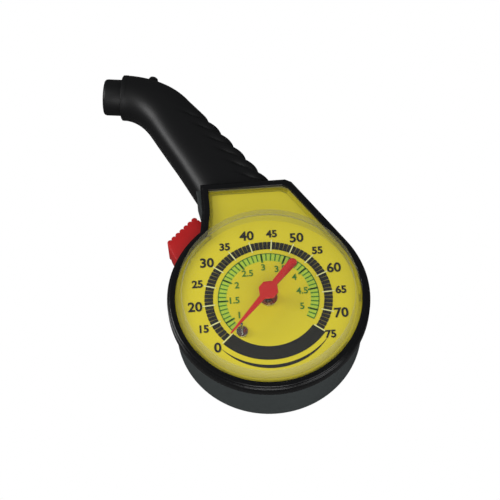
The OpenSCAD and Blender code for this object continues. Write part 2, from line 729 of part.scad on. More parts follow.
// Moulded post for a screw, with two crossed gussets
module screw_boss(r, h) {
  slice = 0.1;
  hull() for (z = [0, h - slice]) translate([0, 0, z]) cylinder(r = r, h = slice, $fn = 24);
  for (a = [45, 135]) rotate(a)
    hull() for (z = [0, h - slice]) translate([-r - 0.4, -0.4, z]) cube([2 * r + 0.8, 0.8, slice]);
}

module grip_cover() {
  color([0.07, 0.07, 0.07]) difference() {
    union() {
      half_shell(0);
      bulkhead(24, 1, hose_r);
      bulkhead(grip_len, 1, held_r);
      for (s = grip_screw_at) at_station(s.x) translate([s.y, 0, 0]) screw_boss(2.1, grip_half_h - 1);
    }
    for (s = grip_screw_at) at_station(s.x) translate([s.y, 0, -1]) cylinder(r = 0.84, h = 5, $fn = 24);
  }
}

module grip_base() {
  color([0.07, 0.07, 0.07]) difference() {
    union() {
      half_shell(180);
      bulkhead(24, -1, hose_r);
      bulkhead(grip_len, -1, held_r);
      for (s = grip_screw_at) at_station(s.x) translate([s.y, 0, 1 - grip_half_h])
        screw_boss(2.6, grip_half_h - 1);
    }
    for (s = grip_screw_at) at_station(s.x) translate([s.y, 0, -grip_half_h - 2]) {
      cylinder(r = 1.1, h = 20, $fn = 24);
      cylinder(r = 1.9, h = 5.2, $fn = 24);
    }
  }
}

module grip_screws() {
  color("silver") for (s = grip_screw_at) at_station(s.x) translate([s.y, 0, -grip_half_h + 2]) difference() {
    union() {
      cylinder(r = 1.7, h = 1.2);
      cylinder(r = 0.8, h = grip_half_h + 1.6);
    }
    for (a = [0, 90]) rotate(a) translate([-1.2, -0.22, -1]) cube([2.4, 0.44, 1.5]);
  }
}

// The chuck's own frame: z runs out of the mouth, 0 is its face
module at_mouth() {
  translate([mouth_at.x, mouth_at.y, grip_z]) rotate(tip_lean) along_y() children();
}

module chuck_nose() {
    color([0.06, 0.06, 0.06]) at_mouth() rotate_extrude()
    polygon([[mouth_r, -mouth_depth], [mouth_r, -0.7], [mouth_r + 0.6, 0], [nose_r - 0.9, 0], [nose_r, -0.9],
      [nose_r, -nose_out], [held_r, -nose_out], [held_r, -disc_back - 1], [pocket_r, -disc_back - 1],
      [pocket_r, -mouth_depth]]);
}

module valve_seal() {
  color([0.15, 0.15, 0.15]) at_mouth() translate([0, 0, -mouth_depth - seal_t]) tube(pocket_r, 2, seal_t);
}

module depressor() {
  color("goldenrod") at_mouth() difference() {
    union() {
      cylinder_between(pocket_r, -disc_back, -disc_back + disc_t);
      cylinder_between(0.9, -disc_back + disc_t - eps, -mouth_depth);
    }
    for (a = [0:120:240]) rotate(a) translate([1.45, 0, -disc_back - 1]) cylinder(r = 0.4, h = 5);
  }
}

module chuck_elbow() {
  back = knee_back;
  color("goldenrod") difference() {
    union() {
      at_mouth() cylinder_between(pocket_r, -disc_back - 1, -disc_back);
      at_mouth() cylinder_between(2.9, -back, -disc_back - 0.9);
      translate([knee_at.x, knee_at.y, grip_z]) sphere(r = 3.1);
      translate([knee_at.x, knee_at.y, grip_z]) rotate(grip_lean - 90) along_x() {
        cylinder_between(2.6, 0, 5);
        cylinder_between(hose_bore, 4.9, 10);
      }
    }
    at_mouth() cylinder_between(0.8, -back, 0);
    at_mouth() cylinder_between(2, -disc_back - 0.5, 0);
    translate([knee_at.x, knee_at.y, grip_z]) rotate(grip_lean - 90) along_x() cylinder_between(0.7, 0, 11);
  }
}

rear_case();
front_frame();
lens();
dial_plate();
dial_bush();
stop_pin();
plate_low();
plate_top();
pillars();
plate_screws();
back_screws();
manifold();
chamber_plug();
inlet_fitting();
bourdon_tube();
tube_tip();
sector_gear();
sector_arbor();
link();
pinion_arbor();
pointer_boss();
pointer();
hairspring();
hairspring_stud();
release_button();
release_stem();
release_pad();
button_spring();
check_poppet();
check_pad();
check_spring();
air_hose();
hose_ferrules();
grip_cover();
grip_base();
grip_screws();
chuck_nose();
valve_seal();
depressor();
chuck_elbow();
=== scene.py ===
import json
import math
import bpy
from mathutils import Matrix, Vector

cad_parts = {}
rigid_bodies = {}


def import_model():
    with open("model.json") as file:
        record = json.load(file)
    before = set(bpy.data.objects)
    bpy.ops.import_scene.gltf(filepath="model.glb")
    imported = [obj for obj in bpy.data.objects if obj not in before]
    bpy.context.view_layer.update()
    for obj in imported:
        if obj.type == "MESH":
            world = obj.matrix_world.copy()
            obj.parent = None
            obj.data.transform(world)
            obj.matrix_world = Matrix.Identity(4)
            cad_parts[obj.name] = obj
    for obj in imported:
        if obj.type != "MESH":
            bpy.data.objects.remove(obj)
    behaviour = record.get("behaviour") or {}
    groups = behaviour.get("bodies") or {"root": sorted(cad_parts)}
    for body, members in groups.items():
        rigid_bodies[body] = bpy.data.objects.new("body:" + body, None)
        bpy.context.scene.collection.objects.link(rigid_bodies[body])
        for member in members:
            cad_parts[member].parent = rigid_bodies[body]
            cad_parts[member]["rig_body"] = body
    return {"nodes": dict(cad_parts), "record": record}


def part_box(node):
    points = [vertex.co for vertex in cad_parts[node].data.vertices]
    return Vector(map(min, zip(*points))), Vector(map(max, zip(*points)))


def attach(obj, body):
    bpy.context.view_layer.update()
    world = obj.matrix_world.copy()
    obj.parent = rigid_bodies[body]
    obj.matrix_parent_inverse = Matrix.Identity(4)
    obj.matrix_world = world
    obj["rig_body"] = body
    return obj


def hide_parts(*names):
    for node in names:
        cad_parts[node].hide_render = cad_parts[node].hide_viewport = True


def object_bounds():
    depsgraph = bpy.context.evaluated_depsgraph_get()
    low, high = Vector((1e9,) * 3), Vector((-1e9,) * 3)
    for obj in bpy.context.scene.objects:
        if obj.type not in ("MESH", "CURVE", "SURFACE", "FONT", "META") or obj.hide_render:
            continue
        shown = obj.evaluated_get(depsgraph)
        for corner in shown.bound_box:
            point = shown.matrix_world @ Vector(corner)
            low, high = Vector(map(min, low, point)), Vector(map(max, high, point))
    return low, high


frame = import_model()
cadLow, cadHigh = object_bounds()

mm = 0.001  # in metres
nodes = frame["nodes"]


def linear(r, g, b):  # linear values of a colour given in 0 to 255
    def straight(c):
        return c / 255 / 12.92 if c <= 10 else ((c / 255 + 0.055) / 1.055) ** 2.4

    return (straight(r), straight(g), straight(b), 1.0)


def newNode(tree, kind, **values):
    made = tree.nodes.new(kind)
    for key, value in values.items():
        if key.startswith("in_"):
            made.inputs[key[3:].replace("_", " ")].default_value = value
        else:
            setattr(made, key, value)
    return made


def makeWear():  # grain, cloud and edge masks and a bumped normal, shared by every surface
    tree = bpy.data.node_groups.new("surfaceWear", "ShaderNodeTree")
    sockets = tree.interface
    given = {"Grain scale": 900.0, "Edge size": 0.4 * mm, "Bump": 0.1, "Cloud scale": 60.0}
    for name, value in given.items():
        made = sockets.new_socket(name=name, in_out="INPUT", socket_type="NodeSocketFloat")
        made.default_value = value
    for name, kind in {"Grain": "Float", "Clouds": "Float", "Edge": "Float", "Normal": "Vector"}.items():
        sockets.new_socket(name=name, in_out="OUTPUT", socket_type="NodeSocket" + kind)
    start, end = tree.nodes.new("NodeGroupInput"), tree.nodes.new("NodeGroupOutput")
    coord = tree.nodes.new("ShaderNodeTexCoord")
    grain = newNode(tree, "ShaderNodeTexNoise", in_Detail=4.0, in_Roughness=0.6)
    cloud = newNode(tree, "ShaderNodeTexNoise", in_Detail=3.0, in_Roughness=0.5)
    bevel = newNode(tree, "ShaderNodeBevel", samples=4)
    shape = tree.nodes.new("ShaderNodeNewGeometry")
    dot = newNode(tree, "ShaderNodeVectorMath", operation="DOT_PRODUCT")
    edge = newNode(tree, "ShaderNodeMapRange")
    edge.inputs["From Min"].default_value = 0.99  # cosine to the bevelled normal where wear starts
    edge.inputs["From Max"].default_value = 0.72  # and where it is full
    bump = newNode(tree, "ShaderNodeBump", in_Distance=0.1 * mm)
    link = tree.links.new
    link(coord.outputs["Object"], grain.inputs["Vector"])
    link(coord.outputs["Object"], cloud.inputs["Vector"])
    link(start.outputs["Grain scale"], grain.inputs["Scale"])
    link(start.outputs["Cloud scale"], cloud.inputs["Scale"])
    link(start.outputs["Edge size"], bevel.inputs["Radius"])
    link(bevel.outputs[0], dot.inputs[0])
    link(shape.outputs["Normal"], dot.inputs[1])
    link(dot.outputs["Value"], edge.inputs["Value"])
    link(grain.outputs[0], bump.inputs["Height"])
    link(start.outputs["Bump"], bump.inputs["Strength"])
    link(bevel.outputs[0], bump.inputs["Normal"])
    link(grain.outputs[0], end.inputs["Grain"])
    link(cloud.outputs[0], end.inputs["Clouds"])
    link(edge.outputs[0], end.inputs["Edge"])
    link(bump.outputs[0], end.inputs["Normal"])
    return tree


wear = makeWear()
cloudGain, cloudLift = 1.35, 0.002  # how much lighter the clouds are than the base colour


def surface(name, base, worn, rough, roughSpread=0.08, metal=0.0, grain=900.0, bump=0.1,
            edge=0.3 * mm, clouds=0.15, edgeShare=0.5, ior=1.5):
    mat = bpy.data.materials.new(name)
    mat.use_nodes = True
    tree = mat.node_tree
    link = tree.links.new
    shader = tree.nodes["Principled BSDF"]
    worked = newNode(tree, "ShaderNodeGroup", node_tree=wear)
    worked.inputs["Grain scale"].default_value = grain
    worked.inputs["Edge size"].default_value = edge
    worked.inputs["Bump"].default_value = bump
    tint = newNode(tree, "ShaderNodeMix", data_type="RGBA")
    tint.inputs["A"].default_value = base
    tint.inputs["B"].default_value = (*(min(1.0, c * cloudGain + cloudLift) for c in base[:3]), 1.0)
    share = newNode(tree, "ShaderNodeMath", operation="MULTIPLY")
    share.inputs[1].default_value = clouds
    edged = newNode(tree, "ShaderNodeMix", data_type="RGBA")
    edged.inputs["B"].default_value = worn
    amount = newNode(tree, "ShaderNodeMath", operation="MULTIPLY")
    amount.inputs[1].default_value = edgeShare
    spread = newNode(tree, "ShaderNodeMapRange")
    spread.inputs["To Min"].default_value = max(0.02, rough - roughSpread)
    spread.inputs["To Max"].default_value = min(1.0, rough + roughSpread)
    link(worked.outputs["Clouds"], share.inputs[0])
    link(share.outputs[0], tint.inputs["Factor"])
    link(worked.outputs["Edge"], amount.inputs[0])
    link(amount.outputs[0], edged.inputs["Factor"])
    link(tint.outputs["Result"], edged.inputs["A"])
    link(worked.outputs["Grain"], spread.inputs["Value"])
    link(edged.outputs["Result"], shader.inputs["Base Color"])
    link(spread.outputs[0], shader.inputs["Roughness"])
    link(worked.outputs["Normal"], shader.inputs["Normal"])
    shader.inputs["Metallic"].default_value = metal
    shader.inputs["IOR"].default_value = ior
    return mat


looks = {
    "case_plastic": surface("casePlastic", linear(50, 55, 55), linear(74, 80, 80), 0.4,
                            grain=2600, bump=0.25, ior=1.45),
    "frame_plastic": surface("framePlastic", linear(9, 9, 10), linear(26, 26, 28), 0.24, 0.05,
                             grain=500, bump=0.03),
    "grip_plastic": surface("gripPlastic", linear(12, 12, 13), linear(34, 34, 36), 0.44, 0.06,
                            grain=2400, bump=0.3, clouds=0.3, ior=1.42),
    "dial_print": surface("dialYellow", linear(222, 204, 24), linear(228, 212, 60), 0.45, 0.05,
                          grain=1800, bump=0.05, clouds=0.08, edge=0.1 * mm),
    "pointer_red": surface("pointerRed", linear(204, 26, 24), linear(222, 70, 64), 0.38, 0.05,
                           grain=1600, bump=0.06, edge=0.1 * mm),
    "button_red": surface("buttonRed", linear(168, 8, 10), linear(196, 44, 42), 0.38, 0.06,
                          grain=1900, bump=0.12),
    "brass": surface("turnedBrass", linear(202, 166, 96), linear(232, 204, 146), 0.3, 0.1, 1.0,
                     grain=2200, bump=0.12, edge=0.1 * mm),
    "bronze": surface("drawnBronze", linear(184, 132, 88), linear(214, 168, 124), 0.34, 0.1, 1.0,
                      grain=1900, bump=0.1, edge=0.1 * mm),
    "steel": surface("platedSteel", linear(196, 196, 192), linear(228, 228, 226), 0.27, 0.1, 1.0,
                     grain=2400, bump=0.1, edge=0.1 * mm),
    "rubber": surface("blackRubber", linear(20, 20, 20), linear(42, 42, 42), 0.75, 0.08,
                      grain=2600, bump=0.35),
}


def printed(name, base, worn):
    return surface(name, base, worn, 0.5, 0.05, grain=1800, bump=0.05, edge=0.05 * mm)


printBlack = printed("printBlack", linear(24, 22, 16), linear(40, 38, 30))
printGreen = printed("printGreen", linear(66, 128, 30), linear(90, 150, 50))
printLime = printed("printLime", linear(176, 205, 52), linear(190, 215, 80))
printPale = printed("printPale", linear(226, 224, 150), linear(232, 230, 180))
printShade = printed("printShade", linear(128, 116, 34), linear(140, 130, 50))


def clearPlastic():  # a thin clear wall that lets the larger part of the light straight through, with a faint gloss and a grey painted sheen that grows at grazing angles
    mat = bpy.data.materials.new("clearLens")
    mat.use_nodes = True
    tree = mat.node_tree
    link = tree.links.new
    shader = tree.nodes["Principled BSDF"]
    worked = newNode(tree, "ShaderNodeGroup", node_tree=wear)
    worked.inputs["Grain scale"].default_value = 300.0
    worked.inputs["Bump"].default_value = 0.02
    rough = newNode(tree, "ShaderNodeMapRange")
    rough.inputs["To Min"].default_value = 0.03
    rough.inputs["To Max"].default_value = 0.1
    clear = newNode(tree, "ShaderNodeBsdfTransparent")
    clear.inputs["Color"].default_value = (0.975, 0.98, 0.975, 1)
    fresnel = newNode(tree, "ShaderNodeLayerWeight", in_Blend=0.22)
    glossAndPaintedSheenShare = newNode(tree, "ShaderNodeMapRange")
    glossAndPaintedSheenShare.inputs["To Min"].default_value = 0.03
    glossAndPaintedSheenShare.inputs["To Max"].default_value = 0.3
    mix = newNode(tree, "ShaderNodeMixShader")
    # the grey base colour is painted sheen standing in for reflections along the lens edge; the specular on
    # top is real gloss
    shader.inputs["Base Color"].default_value = (0.3, 0.31, 0.3, 1)
    link(worked.outputs["Grain"], rough.inputs["Value"])
    link(rough.outputs[0], shader.inputs["Roughness"])
    link(fresnel.outputs["Fresnel"], glossAndPaintedSheenShare.inputs["Value"])
    link(glossAndPaintedSheenShare.outputs[0], mix.inputs[0])
    link(clear.outputs[0], mix.inputs[1])
    link(shader.outputs[0], mix.inputs[2])
    link(mix.outputs[0], tree.nodes["Material Output"].inputs["Surface"])
    return mat


looks["lens_clear"] = clearPlastic()
slots = {row["node"]: row["material_slot"] for row in frame["record"]["subparts"]}
for name, obj in nodes.items():
    obj.data.materials.clear()
    obj.data.materials.append(looks[slots[name]])
print("materials done")


def addMesh(name, verts, faces, mat, angle=35):
    data = bpy.data.meshes.new(name)
    data.from_pydata([tuple(v) for v in verts], [], faces)
    data.validate()
    data.update()
    data.materials.append(mat)
    obj = bpy.data.objects.new(name, data)
    bpy.context.scene.collection.objects.link(obj)
    data.shade_smooth()
    data.set_sharp_from_angle(angle=math.radians(angle))
    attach(obj, "housing")
    return obj


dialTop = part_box("dial_plate")[1].z
printLift = 0.05 * mm  # step between two layers of print


def polar(radius, clockAngle, z):
    a = math.radians(clockAngle)
    return Vector((radius * math.sin(a), radius * math.cos(a), z))


def band(inner, outer, start, end, z):  # a flat ring sector, inner and outer may be functions
    steps = max(2, int((end - start) / 2))  # one step for about two degrees
    innerAt = inner if callable(inner) else (lambda share: inner)
    outerAt = outer if callable(outer) else (lambda share: outer)
    verts, faces = [], []
    for i in range(steps + 1):
        t = i / steps
        a = start + (end - start) * t
        verts += [polar(innerAt(t), a, z), polar(outerAt(t), a, z)]
    for i in range(steps):
        k = 2 * i
        faces.append((k + 1, k + 3, k + 2, k))
    return verts, faces


def joinParts(parts):
    verts, faces = [], []
    for v, f in parts:
        k = len(verts)
        verts += v
        faces += [tuple(i + k for i in face) for face in f]
    return verts, faces


zeroAngle, fifteenAngle = -133.5, -114.0  # from straight up, clockwise, in degrees
fiveStep = 20.1  # turn of the scale for each step of five above fifteen
blockStep = fiveStep / 5


def scaleAngle(value):
    if value < 15:
        return zeroAngle + value / 15 * (fifteenAngle - zeroAngle)
    return fifteenAngle + (value - 15) / 5 * fiveStep


def textMesh(name, words, size, mat, placeAt, bold):
    data = bpy.data.curves.new(name, "FONT")
    data.body = words
    data.size = size
    data.align_x = "CENTER"
    data.align_y = "CENTER"
    data.offset = bold
    data.resolution_u = 3
    obj = bpy.data.objects.new(name, data)
    bpy.context.scene.collection.objects.link(obj)
    obj.matrix_world = Matrix.Translation(placeAt)
    bpy.context.view_layer.update()
    mesh = bpy.data.meshes.new_from_object(obj.evaluated_get(bpy.context.evaluated_depsgraph_get()))
    mesh.transform(obj.matrix_world)
    bpy.data.objects.remove(obj)
    mesh.materials.clear()
    mesh.materials.append(mat)
    made = bpy.data.objects.new(name, mesh)
    bpy.context.scene.collection.objects.link(made)
    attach(made, "housing")
    return made


def joinObjects(objs, name):
    with bpy.context.temp_override(active_object=objs[0], object=objs[0], selected_objects=objs,
                                   selected_editable_objects=objs):
        bpy.ops.object.join()
    objs[0].name = name


def makeRowTree():
    tree = bpy.data.node_groups.new("radialRow", "GeometryNodeTree")
    ids = {}
    kinds = {"Count": "Int", "First": "Float", "Step": "Float", "Radius": "Float", "Width": "Float",
             "Length": "Float", "Height": "Float", "Paint": "Material"}
    for name, kind in kinds.items():
        made = tree.interface.new_socket(name=name, in_out="INPUT", socket_type="NodeSocket" + kind)
        ids[name] = made.identifier
    tree.interface.new_socket(name="Geometry", in_out="OUTPUT", socket_type="NodeSocketGeometry")
    link = tree.links.new
    start, end = tree.nodes.new("NodeGroupInput"), tree.nodes.new("NodeGroupOutput")
    line, index = tree.nodes.new("GeometryNodeMeshLine"), tree.nodes.new("GeometryNodeInputIndex")
    angle = newNode(tree, "ShaderNodeMath", operation="MULTIPLY_ADD")
    sine = newNode(tree, "ShaderNodeMath", operation="SINE")
    cosine = newNode(tree, "ShaderNodeMath", operation="COSINE")
    east = newNode(tree, "ShaderNodeMath", operation="MULTIPLY")
    north = newNode(tree, "ShaderNodeMath", operation="MULTIPLY")
    turn = newNode(tree, "ShaderNodeMath", operation="MULTIPLY")
    turn.inputs[1].default_value = -1.0
    at, spin = tree.nodes.new("ShaderNodeCombineXYZ"), tree.nodes.new("ShaderNodeCombineXYZ")
    move, mark = tree.nodes.new("GeometryNodeSetPosition"), tree.nodes.new("GeometryNodeMeshGrid")
    mark.inputs["Vertices X"].default_value = 2
    mark.inputs["Vertices Y"].default_value = 2
    spread = tree.nodes.new("GeometryNodeInstanceOnPoints")
    real = tree.nodes.new("GeometryNodeRealizeInstances")
    paint = tree.nodes.new("GeometryNodeSetMaterial")
    link(start.outputs["Count"], line.inputs["Count"])
    link(index.outputs[0], angle.inputs[0])
    link(start.outputs["Step"], angle.inputs[1])
    link(start.outputs["First"], angle.inputs[2])
    for wave, out in ((sine, east), (cosine, north)):
        link(angle.outputs[0], wave.inputs[0])
        link(wave.outputs[0], out.inputs[0])
        link(start.outputs["Radius"], out.inputs[1])
    link(angle.outputs[0], turn.inputs[0])
    link(east.outputs[0], at.inputs[0])
    link(north.outputs[0], at.inputs[1])
    link(start.outputs["Height"], at.inputs[2])
    link(turn.outputs[0], spin.inputs[2])
    link(line.outputs[0], move.inputs["Geometry"])
    link(at.outputs[0], move.inputs["Position"])
    link(start.outputs["Width"], mark.inputs["Size X"])
    link(start.outputs["Length"], mark.inputs["Size Y"])
    link(move.outputs[0], spread.inputs["Points"])
    link(mark.outputs["Mesh"], spread.inputs["Instance"])
    link(spin.outputs[0], spread.inputs["Rotation"])
    link(spread.outputs[0], real.inputs[0])
    link(real.outputs[0], paint.inputs["Geometry"])
    link(start.outputs["Paint"], paint.inputs["Material"])
    link(paint.outputs[0], end.inputs[0])
    return tree, ids


rowTree, rowIds = makeRowTree()


def radialRow(name, count, first, step, inner, outer, width, height, mat):
    obj = bpy.data.objects.new(name, bpy.data.meshes.new(name))
    bpy.context.scene.collection.objects.link(obj)
    mod = obj.modifiers.new("row", "NODES")
    mod.node_group = rowTree
    given = {"Count": count, "First": math.radians(first), "Step": math.radians(step),
             "Radius": (inner + outer) / 2 * mm, "Width": width * mm, "Length": (outer - inner) * mm,
             "Height": height, "Paint": mat}
    for key, value in given.items():
        mod[rowIds[key]] = value
    bpy.context.view_layer.update()
    mesh = bpy.data.meshes.new_from_object(obj.evaluated_get(bpy.context.evaluated_depsgraph_get()))
    obj.modifiers.clear()
    obj.data = mesh
    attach(obj, "housing")


z0, z1, z2, z3 = (dialTop + k * printLift for k in (0.5, 1, 2, 3))
rows = {  # radii and widths in mm, angles in degrees, heights in metres
    "dialBlocks": {"count": 60, "first": scaleAngle(15) + blockStep / 2, "step": blockStep,
                   "inner": 18.7, "outer": 21.6, "width": 1.18, "height": z2, "mat": printBlack},
    "dialBlocksLow": {"count": 4, "first": scaleAngle(0) + 2.6, "step": 4.7,
                      "inner": 18.7, "outer": 21.6, "width": 1.3, "height": z2, "mat": printBlack},
    "dialDividers": {"count": 13, "first": scaleAngle(15), "step": fiveStep,
                     "inner": 18.1, "outer": 22.4, "width": 0.42, "height": z3, "mat": printPale},
    "dialDividerLow": {"count": 1, "first": scaleAngle(0), "step": fiveStep,
                       "inner": 17.8, "outer": 22.6, "width": 0.42, "height": z3, "mat": printPale},
}
for name, row in rows.items():
    radialRow(name, **row)


def swelling(radius, swell):  # an edge that stands further out towards the middle of its band
    return lambda share: (radius + swell * math.sin(math.pi * share)) * mm


blackBands = [
    {"inner": 17.7 * mm, "outer": 22.6 * mm, "start": scaleAngle(75) + 0.6,
     "end": 360 + scaleAngle(0) - 0.8, "z": z2},
    {"inner": swelling(24.3, 0.1), "outer": swelling(24.35, 1.25), "start": 130, "end": 224, "z": z2},
]
groundBand = {"inner": 18.8 * mm, "outer": 21.5 * mm, "start": scaleAngle(0), "end": scaleAngle(75), "z": z0}
verts, faces = band(**groundBand)
addMesh("dialBandGround", verts, faces, printShade)
verts, faces = joinParts([band(**one) for one in blackBands])
addMesh("dialBlackArc", verts, faces, printBlack)


greenZero, greenStep = -176.2, 57.1  # degrees, at nought and for each step of one


def greenAngle(value):
    return greenZero + greenStep * value


greenFirst, greenLast = 0.8, 5.2  # where the inner scale starts and ends
limeBand = {"inner": 14.2 * mm, "outer": 16.9 * mm, "start": greenAngle(greenFirst),
            "end": greenAngle(greenLast), "z": z1}
greenLine = {"inner": 16.8 * mm, "outer": 17.1 * mm, "start": greenAngle(greenFirst),
             "end": greenAngle(greenLast), "z": z3}
verts, faces = band(**limeBand)
addMesh("dialLimeBand", verts, faces, printLime)
verts, faces = band(**greenLine)
addMesh("dialGreenArc", verts, faces, printGreen)
greenRows = {
    "dialGreenTicks": {"count": 45, "first": greenAngle(greenFirst), "step": greenStep / 10,
                       "inner": 14.3, "outer": 17, "width": 0.42, "height": z3, "mat": printGreen},
    "dialGreenLong": {"count": 9, "first": greenAngle(1), "step": greenStep / 2,
                      "inner": 13.6, "outer": 17, "width": 0.62, "height": z3, "mat": printGreen},
}
for name, row in greenRows.items():
    radialRow(name, **row)

tens = {"size": 4.9 * mm, "radius": 24.9 * mm}
fives = {"size": 3.8 * mm, "radius": 24.6 * mm}
halves = {"size": 3.3 * mm, "radius": 11.7 * mm}
numbers = []
for value in [0] + list(range(15, 80, 5)):
    look = tens if value % 10 == 0 else fives
    at = polar(look["radius"], scaleAngle(value), z3)
    numbers.append(textMesh(f"num{value}", str(value), look["size"], printBlack, at, 0.13 * mm))
joinObjects(numbers, "dialBlackNumbers")
numbers = []
for i in range(9):
    value = 1 + i * 0.5
    at = polar(halves["radius"], greenAngle(value), z3)
    numbers.append(textMesh(f"inner{i}", f"{value:g}", halves["size"], printGreen, at, 0.07 * mm))
joinObjects(numbers, "dialGreenNumbers")
print("dial done")


gripZ = (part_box("grip_base")[0].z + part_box("grip_cover")[1].z) / 2
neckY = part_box("rear_case")[1].y
grip = {"run": 42 * mm, "rootW": 12.4 * mm, "endW": 9.3 * mm, "collar": 8.4 * mm, "halfH": 8.1 * mm,
        "lean": 32.7, "turn": 50.0, "bendR": 23.5 * mm, "rootX": -8 * mm, "skew": 22 * mm,
        "endRun": 2 * mm, "power": 3.2, "powerDrop": 1.2, "roundFrom": 0.6, "shell": 0.82,
        "ribPitch": 4.2 * mm, "ribs": 6, "ribDir": math.radians(-17.3), "ribDepth": 1.15 * mm,
        "ribStart": 1 * mm, "ribSharp": 0.7, "ribTop": 88, "ribBottom": -75, "ribFade": 26}
arcLen = grip["bendR"] * math.radians(grip["turn"])
gripLen = grip["run"] + arcLen


def smoothStep(x):
    t = max(0.0, min(1.0, x))
    return t * t * (3 - 2 * t)


def leanAt(q):
    return math.radians(grip["lean"] + grip["turn"] * max(0.0, min(1.0, (q - grip["run"]) / arcLen)))


def lineAt(q):
    lean0 = math.radians(grip["lean"])
    head = Vector((-math.sin(lean0), math.cos(lean0)))
    root = Vector((grip["rootX"], neckY))
    if q <= grip["run"]:
        return root + head * q
    start, t = root + head * grip["run"], leanAt(q)
    arc = Vector((math.cos(t) - math.cos(lean0), math.sin(t) - math.sin(lean0))) * grip["bendR"]
    return start + arc


def gripPoint(q, deg):  # a point of the grip's outside, q along it and deg around it
    run, halfH = grip["run"], grip["halfH"]
    share = smoothStep((q - run) / (gripLen - run - grip["endRun"]))
    straightW = grip["rootW"] + (grip["endW"] - grip["rootW"]) * min(1.0, q / run)
    w = straightW * (1 - share) + grip["collar"] * share
    h = halfH * (1 - share) + grip["collar"] * share
    roundQ = run * grip["roundFrom"]
    power = 2 / (grip["power"] - grip["powerDrop"] * smoothStep((q - roundQ) / (gripLen - roundQ)))
    c, s = math.cos(math.radians(deg)), math.sin(math.radians(deg))
    x = math.copysign(abs(c) ** power, c) * w
    y = math.copysign(abs(s) ** power, s) * h
    t, p = leanAt(q), lineAt(q)
    skew = math.tan(math.radians(grip["lean"])) * max(0.0, 1 - q / grip["skew"])
    side = Vector((math.cos(t), math.sin(t))) - skew * Vector((-math.sin(t), math.cos(t)))
    at = p + side * x
    across = -at.x * math.sin(grip["ribDir"]) + at.y * math.cos(grip["ribDir"]) - neckY
    turn = deg if deg <= 180 else deg - 360
    fade = smoothStep((grip["ribTop"] - turn) / grip["ribFade"])
    fade *= smoothStep((turn - grip["ribBottom"]) / grip["ribFade"])
    lastRib = grip["ribPitch"] * grip["ribs"]
    fade *= smoothStep((across / mm + 1) / 2) * smoothStep((lastRib - across) / mm / 1.5)
    wave = 1 - abs(math.sin(math.pi * (across - grip["ribStart"]) / grip["ribPitch"])) ** grip["ribSharp"]
    k = 1 - grip["ribDepth"] * wave * fade / halfH
    at = p + side * x * k
    return Vector((at.x, at.y, gripZ + y * k))


def gripSkin(name, low, high, stations=420, around=90):
    verts, faces = [], []
    for i in range(stations + 1):
        q = gripLen * i / stations
        verts += [gripPoint(q, low + (high - low) * j / around) for j in range(around + 1)]
    row = around + 1
    for i in range(stations):
        for j in range(around):
            k = i * row + j
            faces.append((k, k + 1, k + row + 1, k + row))
    count = len(verts)  # the same points again, nearer the middle, give the shell its thickness
    for i in range(stations + 1):
        q = gripLen * i / stations
        mid = Vector((*lineAt(q), gripZ))
        verts += [mid + (v - mid) * grip["shell"] for v in verts[i * row:(i + 1) * row]]
    faces += [tuple(reversed([k + count for k in face])) for face in faces]
    for i in range(stations):
        for j, flip in ((0, True), (around, False)):
            k = i * row + j
            quad = (k, k + row, k + row + count, k + count)
            faces.append(quad if flip else tuple(reversed(quad)))
    for i, flip in ((0, False), (stations, True)):
        for j in range(around):
            k = i * row + j
            quad = (k, k + 1, k + 1 + count, k + count)
            faces.append(quad if flip else tuple(reversed(quad)))
    return addMesh(name, verts, faces, looks["grip_plastic"], angle=50)


cover = gripSkin("gripCoverSkin", 1.0, 179.0)
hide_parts("grip_cover")
base = gripSkin("gripBaseSkin", 181.0, 359.0, stations=300, around=70)
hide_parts("grip_base")
print("grip done")


mouthMount = next(m for m in frame["record"]["mounts"] if m["name"] == "valve_mouth")
out = Vector(mouthMount["axis"]).normalized()
mouthR = mouthMount["dims"]["r_mm"] * mm
endQ = Vector((*lineAt(gripLen), gripZ))


def turned(name, profile, origin, axis, steps=96):
    side = axis.cross(Vector((0, 0, 1))).normalized()
    up = side.cross(axis).normalized()
    verts, faces = [], []
    for i in range(steps):
        a = 2 * math.pi * i / steps
        ray = side * math.cos(a) + up * math.sin(a)
        verts += [origin + axis * along + ray * radius for radius, along in profile]
    n = len(profile)
    for i in range(steps):
        for j in range(n):
            k, m = i * n, ((i + 1) % steps) * n
            faces.append((k + j, k + (j + 1) % n, m + (j + 1) % n, m + j))
    return addMesh(name, verts, faces, looks["grip_plastic"])


noseR, noseOut = 6.7 * mm, 7 * mm
heldR, pocketR, mouthDepth = 5.6 * mm, 5.0 * mm, 8.5 * mm
softEdge = [(1.0, 0.0), (0.5, 0.12), (0.15, 0.5), (0.0, 1.1)]  # mm in from the side, mm back
face = endQ + out * noseOut
noseBack = min((v.co - face).dot(out) for v in nodes["chuck_nose"].data.vertices)  # its inner end
noseProfile = [(mouthR + 0.35 * mm, 0)] + [(noseR - a * mm, -b * mm) for a, b in softEdge]
noseProfile += [(noseR, -noseOut), (heldR, -noseOut - 0.5 * mm), (heldR, noseBack), (pocketR, noseBack),
                (pocketR, -mouthDepth), (mouthR, -mouthDepth), (mouthR, -0.6 * mm)]
nose = turned("chuckNoseSkin", noseProfile, face, out)
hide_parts("chuck_nose")

collar = {"r": 8.45 * mm, "hole": noseR + 0.1 * mm, "front": 0.3 * mm, "back": -1.6 * mm}
collarProfile = [(collar["hole"], collar["front"]), (collar["r"] - 0.45 * mm, collar["front"]),
                 (collar["r"] - 0.1 * mm, 0.0), (collar["r"], -0.5 * mm),
                 (collar["r"], collar["back"]), (collar["hole"], collar["back"])]
turned("chuckCollar", collarProfile, endQ, out)

